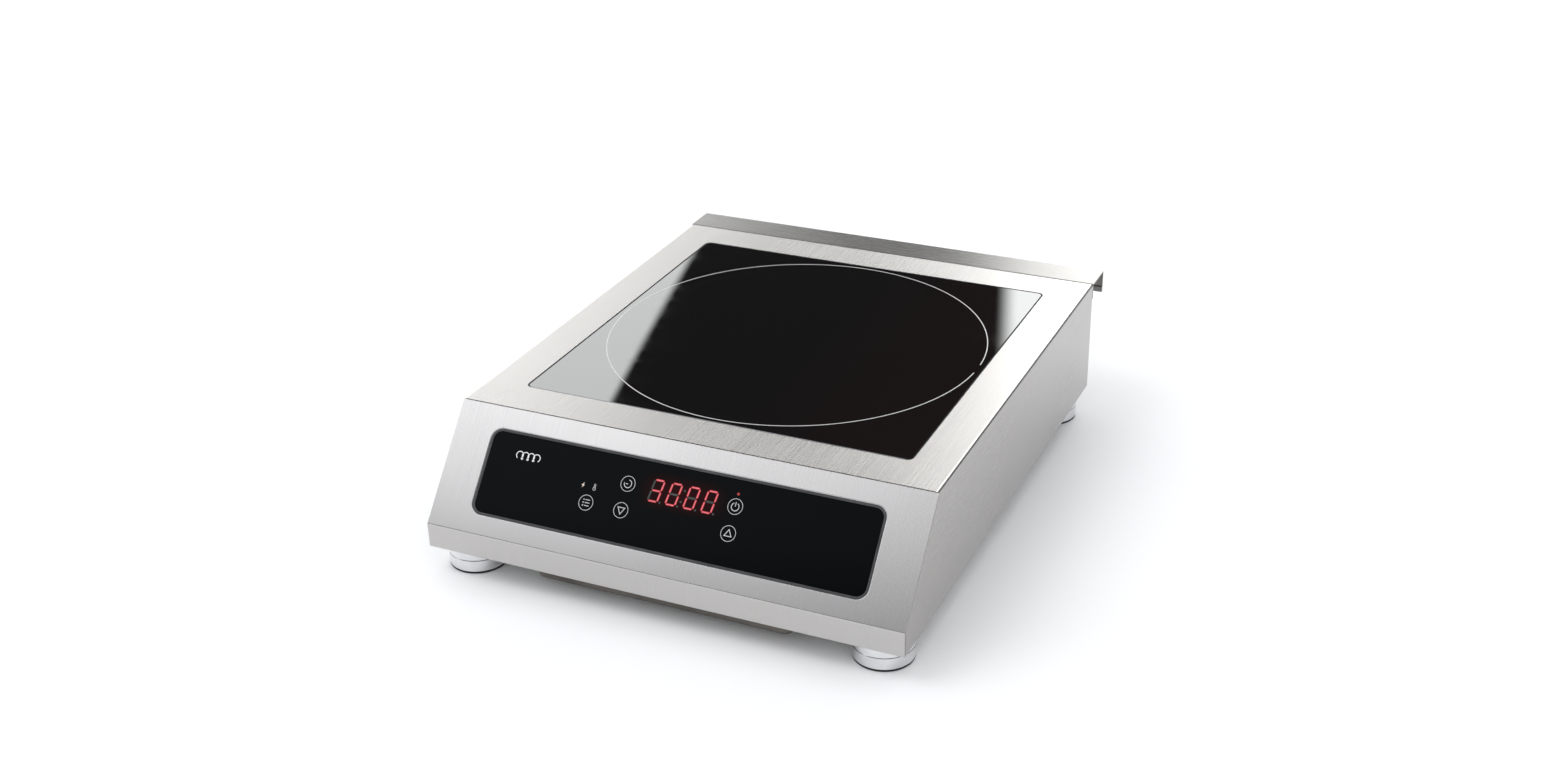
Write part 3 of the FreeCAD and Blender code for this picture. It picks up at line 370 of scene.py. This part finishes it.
def stroke(bm, place, points, width, closed=False):
    """A printed line of one width with mitred corners."""
    count = len(points)
    rails = [[], []]
    for i, point in enumerate(points):
        here = Vector(point)
        before = Vector(points[i - 1]) if closed or i else None
        after = Vector(points[(i + 1) % count]) if closed or i < count - 1 else None
        first = (here - before).normalized() if before is not None else (after - here).normalized()
        second = (after - here).normalized() if after is not None else first
        normal = Vector((-first.y, first.x)) + Vector((-second.y, second.x))
        normal = normal / normal.length_squared * width
        rails[0].append(tuple(here - normal))
        rails[1].append(tuple(here + normal))
    ribbon(bm, *rails, place, closed)


def slab(bm, place, outline, high=PRINT_HIGH):
    """A thin filled shape."""
    bottom = [bm.verts.new(place(*p, PRINT_LOW)) for p in outline]
    top = [bm.verts.new(place(*p, high)) for p in outline]
    bm.faces.new(top)
    bm.faces.new(reversed(bottom))
    for i in range(len(outline)):
        j = (i + 1) % len(outline)
        bm.faces.new((bottom[i], bottom[j], top[j], top[i]))


def disc(bm, place, centre, radius):
    """A thin round spot."""
    angles = [math.tau * i / DISC_STEPS for i in range(DISC_STEPS)]
    slab(bm, place, [(centre[0] + radius * math.cos(a), centre[1] + radius * math.sin(a)) for a in angles])


def piece(name, bm, material, body="housing"):
    """Finishes a mesh as a named piece that rides on a body."""
    bmesh.ops.recalc_face_normals(bm, faces=bm.faces)
    mesh = bpy.data.meshes.new(name)
    bm.to_mesh(mesh)
    bm.free()
    made = bpy.data.objects.new(name, mesh)
    bpy.context.scene.collection.objects.link(made)
    mesh.materials.append(material)
    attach(made, body)


# ---------------------------------------------------------------- printed marks

RING_RADIUS, RING_WIDTH = 136.0, 0.7
# The break in the ring, in degrees from the right.
RING_GAP = (-2.9, 2.7)


def cooking_zone():
    """The fine circle round the cooking zone."""
    bm = bmesh.new()
    arc(bm, on_hob, (0, 0), RING_RADIUS, RING_WIDTH, RING_GAP[1], 360 + RING_GAP[0], 220)
    ink = printed("zone_print", (0.64, 0.64, 0.635), (0.52, 0.52, 0.515))
    piece("cooking_zone_ring", bm, ink)


# Panel places are millimetres to the right of the middle and up from the fold.
KEY_RADIUS, KEY_LINE, SIGN_LINE, SIGN_RADIUS = 5.05, 0.34, 0.5, 2.6
MENU_PITCH = 1.95
KEYS = {"menu": (-60.4, -51.6), "timer": (-34.6, -33.9), "down": (-34.6, -51.6),
        "power": (42.1, -34.0), "up": (42.1, -51.6)}
FLASH_PLACE, THERMOMETER_PLACE = (-65.7, -40.6), (-57.2, -40.6)
LAMP_PLACE, LAMP_RADIUS = (42.1, -25.8), 0.95
COIL_PLACE, COIL_PITCH, COIL_RADIUS, COIL_LOOPS = (-117.0, -30.0), 4.3, 2.5, 4
# Where each loop of the coil sign starts and ends, in degrees.
COIL_START, COIL_END = -58, 238


def key_marks():
    """Each touch key's ring and its sign."""
    bm = bmesh.new()
    for centre in KEYS.values():
        arc(bm, on_panel, centre, KEY_RADIUS, KEY_LINE)

    x, y = KEYS["menu"]
    for row in (y + MENU_PITCH, y, y - MENU_PITCH):
        stroke(bm, on_panel, [(x - 0.75, row), (x + 2.6, row)], SIGN_LINE)
        stroke(bm, on_panel, [(x - 1.5, row + 0.45), (x - 2.3, row), (x - 1.5, row - 0.45)], KEY_LINE)

    x, y = KEYS["timer"]
    arc(bm, on_panel, (x, y), SIGN_RADIUS, SIGN_LINE, -190, 85, 40)
    stroke(bm, on_panel, [(x - 1.5, y - 0.1), (x + 0.1, y - 0.1)], SIGN_LINE)

    for key, tip in (("down", -1), ("up", 1)):
        x, y = KEYS[key]
        base_y = y - tip * 1.75
        triangle = [(x, y + tip * 2.6), (x - tip * 2.5, base_y), (x + tip * 2.5, base_y)]
        stroke(bm, on_panel, triangle, SIGN_LINE, closed=True)

    x, y = KEYS["power"]
    arc(bm, on_panel, (x, y - 0.2), SIGN_RADIUS, SIGN_LINE, -242, 62, 44)
    stroke(bm, on_panel, [(x, y + 0.1), (x, y + 3.0)], SIGN_LINE)
    piece("key_signs", bm, printed("key_print", (0.60, 0.60, 0.60), (0.44, 0.44, 0.44)))


def flash_sign():
    """The small lightning flash that shows power."""
    bm = bmesh.new()
    x, y = FLASH_PLACE
    slab(bm, on_panel, [(x + 0.75, y + 2.0), (x - 1.15, y - 0.25), (x - 0.1, y - 0.25), (x - 0.75, y - 2.0),
                        (x + 1.15, y + 0.3), (x + 0.1, y + 0.3)])
    ink = printed("flash_print", (0.80, 0.70, 0.62), (0.66, 0.52, 0.44))
    piece("power_flash_sign", bm, ink)


def thermometer_sign():
    """The small thermometer that shows temperature."""
    bm = bmesh.new()
    x, y = THERMOMETER_PLACE
    arc(bm, on_panel, (x, y - 1.15), 0.95, 0.36, 120, 420, 26)
    tube = [(x - 0.5, y - 0.3), (x - 0.5, y + 1.7), (x, y + 2.1), (x + 0.5, y + 1.7), (x + 0.5, y - 0.3)]
    stroke(bm, on_panel, tube, KEY_LINE)
    stroke(bm, on_panel, [(x, y - 1.0), (x, y + 0.9)], 0.3)
    piece("heat_sign", bm, printed("heat_print", (0.52, 0.53, 0.54), (0.38, 0.39, 0.40)))


def coil_sign():
    """A generic induction sign: a row of four wire loops on a line."""
    bm = bmesh.new()
    x, y = COIL_PLACE
    for i in range(COIL_LOOPS):
        arc(bm, on_panel, (x + i * COIL_PITCH, y), COIL_RADIUS, 0.55, COIL_START, COIL_END, 30)
    foot = y + COIL_RADIUS * math.sin(math.radians(COIL_START))
    for i in range(COIL_LOOPS - 1):
        left = x + i * COIL_PITCH + COIL_RADIUS * math.cos(math.radians(COIL_START))
        right = x + (i + 1) * COIL_PITCH + COIL_RADIUS * math.cos(math.radians(COIL_END))
        stroke(bm, on_panel, [(left, foot), ((left + right) / 2, foot - 0.5), (right, foot)], SIGN_LINE)
    piece("induction_sign", bm, printed("sign_print", (0.86, 0.86, 0.86), (0.74, 0.74, 0.74)))


# ---------------------------------------------------------------- display

# Each segment's two ends, as shares of half a digit's width and height.
SEGMENTS = {"a": ((-1, 1), (1, 1)), "b": ((1, 1), (1, 0)), "c": ((1, 0), (1, -1)), "d": ((-1, -1), (1, -1)),
            "e": ((-1, 0), (-1, -1)), "f": ((-1, 1), (-1, 0)), "g": ((-1, 0), (1, 0))}
GLYPHS = {"3": "abcdg", "0": "abcdef"}
READING = "3000"
LIT_HIGH, CORE_HIGH, CORE_SHARE = 0.03, 0.05, 0.42
DOT_RADIUS, COLON_RISE = 0.75, 3.7


def leaning(centre, x, y):
    """A point of a digit on the slanted display, from the digit's middle."""
    return centre + x + DIGIT_LEAN * y, y - DISPLAY_DOWN


def segment(bm, centre, name, width, ends, high=PRINT_HIGH):
    """One six-sided display segment, pointed at both ends and kept back from its corners by ends."""
    half = ((DIGIT_WIDTH - SEGMENT) / 2, (DIGIT_HEIGHT - SEGMENT) / 2)
    start, end = (Vector((p[0] * half[0], p[1] * half[1])) for p in SEGMENTS[name])
    way = (end - start).normalized()
    side = Vector((-way.y, way.x)) * width / 2
    start, end = start + way * ends, end - way * ends
    tip = way * width / 2
    outline = [start, start + tip - side, end - tip - side, end, end - tip + side, start + tip + side]
    slab(bm, on_panel, [leaning(centre, *p) for p in outline], high)


def display():
    """Four seven-segment digits: the lit segments with a paler core, the unlit ones and the dots."""
    lit_bm, core_bm, unlit_bm = bmesh.new(), bmesh.new(), bmesh.new()
    for place, glyph in enumerate(READING):
        centre = DISPLAY_CENTRE + (place - 1.5) * DIGIT_PITCH
        for name in SEGMENTS:
            if name in GLYPHS[glyph]:
                segment(lit_bm, centre, name, SEGMENT, SEGMENT_GAP, LIT_HIGH)
                segment(core_bm, centre, name, SEGMENT * CORE_SHARE, SEGMENT_GAP + 0.5, CORE_HIGH)
            else:
                segment(unlit_bm, centre, name, SEGMENT, SEGMENT_GAP)
        disc(unlit_bm, on_panel, leaning(centre, DIGIT_WIDTH / 2 + 1.3, -DIGIT_HEIGHT / 2 + 0.6), DOT_RADIUS)
    for rise in (COLON_RISE, -COLON_RISE):
        disc(unlit_bm, on_panel, leaning(DISPLAY_CENTRE, 0, rise), DOT_RADIUS)
    red = lit("display_red", (0.62, 0.030, 0.045), (0.42, 0.016, 0.026), 0.95)
    core = lit("display_core", (0.90, 0.20, 0.24), (0.75, 0.13, 0.16), 1.0)
    unlit = moulded("display_unlit", (0.030, 0.036, 0.032), (0.018, 0.022, 0.020), 0.3, 0.45)
    piece("display_lit_segments", lit_bm, red)
    piece("display_segment_cores", core_bm, core)
    piece("display_unlit_segments", unlit_bm, unlit)


def power_lamp():
    """The red lamp above the power key."""
    bm = bmesh.new()
    disc(bm, on_panel, LAMP_PLACE, LAMP_RADIUS)
    piece("power_lamp", bm, lit("lamp_glow", (0.62, 0.03, 0.03), (0.36, 0.012, 0.016), 0.8))


# ---------------------------------------------------------------- put the finishes on the CAD nodes

STEEL_LIGHT, STEEL_DARK = (0.528, 0.514, 0.504), (0.504, 0.491, 0.481)
# Deck and side panels: the same steel as the front panel, its tone painted darker as shade.
DECK_SHADED_LIGHT, DECK_SHADED_DARK = (0.474, 0.455, 0.444), (0.452, 0.434, 0.424)
# Rear hood: the same steel again, its tone painted much darker as shade.
HOOD_SHADED_LIGHT, HOOD_SHADED_DARK = (0.305, 0.294, 0.285), (0.291, 0.280, 0.272)
STEEL_ROUGH = (0.24, 0.28)


def finishes():
    """One material for each of the record's slots."""
    return {
        "brushed_steel": brushed("steel_brushed_upright", "YZ", STEEL_LIGHT, STEEL_DARK, *STEEL_ROUGH),
        "base_steel": plated("steel_rolled", (0.50, 0.50, 0.49), (0.45, 0.45, 0.44), 0.34, 0.44, 40),
        "screw_steel": plated("screw_steel_finish", (0.66, 0.65, 0.63), (0.50, 0.49, 0.47), 0.22, 0.36, 120),
        "black_glass": black_glass(),
        "panel_glass": panel_glass(),
        "silicone": moulded("sealant_black", (0.016, 0.016, 0.017), (0.008, 0.008, 0.009), 0.5, 0.7, 700),
        "gasket_rubber": moulded("gasket_black", (0.045, 0.045, 0.047), (0.022, 0.022, 0.024),
                                 0.35, 0.5, 800),
        "foot_chrome": plated("foot_chrome_finish", (0.82, 0.82, 0.83), (0.72, 0.72, 0.73), 0.08, 0.20, 70),
        "foot_rubber": moulded("foot_rubber_finish", (0.014, 0.014, 0.015), (0.007, 0.007, 0.008),
                               0.65, 0.85, 900),
        "zinc_steel": plated("zinc_plate", (0.60, 0.61, 0.60), (0.44, 0.45, 0.46), 0.28, 0.45, 45),
        "board_green": board(),
        "black_plastic": moulded("plastic_black", (0.028, 0.028, 0.029), (0.014, 0.014, 0.015),
                                 0.42, 0.6, 1100),
        "display_plastic": moulded("display_body", (0.05, 0.05, 0.05), (0.03, 0.03, 0.03), 0.4, 0.55),
        "lamp_red": moulded("lamp_lens", (0.42, 0.03, 0.03), (0.25, 0.015, 0.015), 0.2, 0.35),
        "copper": copper_winding(),
        "ferrite": flaked("ferrite_grey", (0.075, 0.075, 0.08), (0.03, 0.03, 0.034), 0.6, 320),
        "mica": flaked("mica_sheet_finish", (0.62, 0.55, 0.42), (0.42, 0.35, 0.24), 0.4, 120),
        "aluminium": brushed("aluminium_mill", "Y", (0.80, 0.80, 0.81), (0.66, 0.66, 0.67), 0.3, 0.45),
        "sensor_silicone": moulded("sensor_silicone_finish", (0.62, 0.61, 0.58), (0.50, 0.49, 0.46),
                                   0.5, 0.65),
        "sensor_bead": moulded("sensor_bead_finish", (0.35, 0.20, 0.08), (0.22, 0.11, 0.04), 0.25, 0.4),
        "film_plastic": moulded("capacitor_yellow", (0.72, 0.56, 0.12), (0.58, 0.43, 0.08), 0.35, 0.5),
        "choke_winding": ribbed("choke_wire", (0.60, 0.26, 0.10), (0.20, 0.07, 0.03), 0.0012, "Z", 0.35),
        "fuse_ceramic": moulded("fuse_ceramic_finish", (0.80, 0.78, 0.72), (0.68, 0.66, 0.60), 0.3, 0.45),
        "ribbon_grey": ribbed("ribbon_wires", (0.50, 0.51, 0.52), (0.30, 0.31, 0.32), 0.00127, "X", 0.5),
    }


def own_finishes():
    """Finishes for nodes whose grain differs from the rest of their slot, or whose steel is painted darker as
    shade.
    """
    spread = (0.0, 1.0, 0.25)
    return {
        # The deck and sides: the front panel's steel in a darker copy that paints shade on them.
        "top_cover": brushed("steel_brushed_lengthways_shaded", "Y", DECK_SHADED_LIGHT, DECK_SHADED_DARK, *STEEL_ROUGH,
                             stretch=0.7),
        # The rear hood: the same steel painted much darker, as shade.
        "rear_hood": brushed("steel_brushed_hood_shaded", "X", HOOD_SHADED_LIGHT, HOOD_SHADED_DARK, *STEEL_ROUGH, spread, 0.6),
        # The intake guard: its steel painted dark as the shade beneath the front lip.
        "intake_guard": plated("guard_steel_painted_shade", (0.150, 0.138, 0.126), (0.095, 0.087, 0.080),
                               0.42, 0.58, 26),
    }


def apply_finishes():
    """Gives every node its own finish, or else the one for its slot in the record."""
    by_slot, by_node = finishes(), own_finishes()
    for name, node in nodes.items():
        for slot in node.material_slots:
            slot.material = by_node.get(name) or by_slot[slot.material.name.split(".")[0]]


# ---------------------------------------------------------------- floor, light, camera

FLOOR_LIGHT, FLOOR_DARK = (0.93, 0.932, 0.938), (0.90, 0.905, 0.915)
FLOOR_REACH = 7

# What the surround gives off: to matt surfaces, to the camera, and in the parts that glossy surfaces mirror.
DOME = (1.06, 1.07, 1.085)
BACKDROP = (0.93, 0.935, 0.945)
PLAIN, SHADE = (0.30, 0.30, 0.31), (0.15, 0.15, 0.155)
AROUND, OVERHEAD = (1.35, 1.36, 1.38), (1.25, 1.26, 1.28)
BACK_CARD = {"right": (3.85, 3.94, 3.91), "left": (2.45, 2.50, 2.49)}
FRONT_CARD = {"left": (2.42, 2.48, 2.57), "right": (1.74, 1.78, 1.85)}
GAP = (0.025, 0.023, 0.022)

SOFTBOX_SIZE, SOFTBOX_POWER, SOFTBOX_PLACE, SOFTBOX_AIM = 1.5, 15, (-1.3, -0.7, 2.4), (0, 0, 0.05)

CAMERA_PLACE, LENS = (0.49424, -1.08704, 0.66420), 42.61
HEADING, DIP, ROLL = math.radians(24.65), math.radians(26.53), math.radians(-1.19)


def floor():
    """A plain pale floor with the faintest unevenness."""
    bm = bmesh.new()
    bmesh.ops.create_grid(bm, x_segments=6, y_segments=6, size=FLOOR_REACH)
    mesh = bpy.data.meshes.new("floor")
    bm.to_mesh(mesh)
    bm.free()
    made = bpy.data.objects.new("floor", mesh)
    bpy.context.scene.collection.objects.link(made)
    f = Finish("floor_white", Roughness=0.62)
    f.link(f.colours(f.noise(3, detail=2), ((0.3, FLOOR_DARK), (0.7, FLOOR_LIGHT))), "Base Color")
    mesh.materials.append(f.material)


def mirrored(n):
    """What glossy surfaces see by direction: bright cards behind and in front, a dark gap and dim stretches.

    A direction is a bearing in degrees, 0 to the back and 90 to the left, and a rise above the horizon.
    """
    way = n.tree.nodes.new("ShaderNodeSeparateXYZ")
    n.tree.links.new(n.tree.nodes.new("ShaderNodeTexCoord").outputs["Generated"], way.inputs["Vector"])
    bearing = n.math("DEGREES", n.math("ARCTAN2", n.math("MULTIPLY", way.outputs["X"], -1), way.outputs["Y"]))
    rise = n.math("DEGREES", n.math("ARCSINE", way.outputs["Z"]))

    # The gap's right edge is upright and its left edge leans, which slants the streak of light in the glass.
    lean = n.math("SUBTRACT", bearing, n.math("MULTIPLY", n.math("SUBTRACT", rise, 26.2), 0.69))
    gap_width = n.math("MINIMUM", n.span(bearing, 0.0, 1.0, 16.7, 17.5), n.span(lean, 1.0, 0.0, 30.1, 30.5))
    gap = n.math("MULTIPLY", n.between(rise, 6, 12, 44, 54), gap_width)

    back = n.math("MULTIPLY", n.between(bearing, -12, -3, 62, 80), n.between(rise, 1, 8, 42, 54))

    # The front card's lower edge rises to the right.
    tilt = n.math("SUBTRACT", rise, n.math("MULTIPLY", n.math("SUBTRACT", bearing, 147), 0.4))
    front_height = n.math("MULTIPLY", n.span(tilt, 0.0, 1.0, 38.3, 41.6), n.span(rise, 1.0, 0.0, 52, 60))
    front = n.math("MULTIPLY", n.between(bearing, 88, 104, 145, 190), front_height)

    right = n.math("MULTIPLY", n.between(bearing, -150, -135, -30, -20), n.span(rise, 0.0, 1.0, 2, 8))
    shade = n.math("MAXIMUM", n.span(rise, 0.0, 1.0, 58, 64), right)
    outside_corner = n.math("SUBTRACT", 1, n.between(bearing, -56, -46, -14, -6))
    around = n.math("MULTIPLY", n.span(rise, 1.0, 0.0, 10, 21), outside_corner)

    back_card = n.mix(n.span(bearing, 0.0, 1.0, 18, 28), BACK_CARD["right"], BACK_CARD["left"])
    front_card = n.mix(n.span(bearing, 0.0, 1.0, 132, 157), FRONT_CARD["left"], FRONT_CARD["right"])
    seen = n.mix(shade, PLAIN, SHADE)
    seen = n.mix(around, seen, AROUND)
    seen = n.mix(n.span(rise, 0.0, 1.0, 67, 76), seen, OVERHEAD)
    seen = n.mix(back, seen, back_card)
    seen = n.mix(front, seen, front_card)
    return n.mix(gap, seen, GAP)


def surround():
    """The world: an even dome for matt surfaces, and the cards and gap for glossy ones."""
    world = bpy.data.worlds.new("studio")
    bpy.context.scene.world = world
    world.use_nodes = True
    n = Nodes(world.node_tree)
    path = n.tree.nodes.new("ShaderNodeLightPath")
    colour = n.mix(path.outputs["Is Glossy Ray"], DOME, mirrored(n))
    colour = n.mix(path.outputs["Is Camera Ray"], colour, BACKDROP)
    n.tree.links.new(colour, n.tree.nodes["Background"].inputs["Color"])
    # Sampled as a light, the world couldn't tell glossy rays from the others.
    world.cycles.sampling_method = "NONE"


def softbox():
    """A large soft light from the front left, kept out of the reflections."""
    key = bpy.data.lights.new("key", "AREA")
    key.shape, key.size, key.size_y, key.energy = "RECTANGLE", SOFTBOX_SIZE, SOFTBOX_SIZE, SOFTBOX_POWER
    lamp = bpy.data.objects.new("key", key)
    bpy.context.scene.collection.objects.link(lamp)
    lamp.location = SOFTBOX_PLACE
    lamp.rotation_euler = (Vector(SOFTBOX_AIM) - lamp.location).to_track_quat("-Z", "Y").to_euler()
    lamp.visible_camera = False
    lamp.visible_glossy = False


def camera():
    """The standpoint: in front, to the right and above."""
    data = bpy.data.cameras.new("view")
    made = bpy.data.objects.new("view", data)
    bpy.context.scene.collection.objects.link(made)
    data.sensor_width, data.lens, data.clip_end = 36, LENS, 60
    level = Vector((-math.sin(HEADING), math.cos(HEADING), 0)) * math.cos(DIP)
    forward = level - Vector((0, 0, math.sin(DIP)))
    turn = forward.to_track_quat("-Z", "Y").to_matrix() @ Matrix.Rotation(ROLL, 3, "Z")
    made.matrix_world = Matrix.Translation(CAMERA_PLACE) @ turn.to_4x4()
    bpy.context.scene.camera = made


camera()
surround()
softbox()
floor()
apply_finishes()
cooking_zone()
key_marks()
flash_sign()
thermometer_sign()
coil_sign()
display()
power_lamp()

bpy.context.scene.view_settings.view_transform = "Standard"
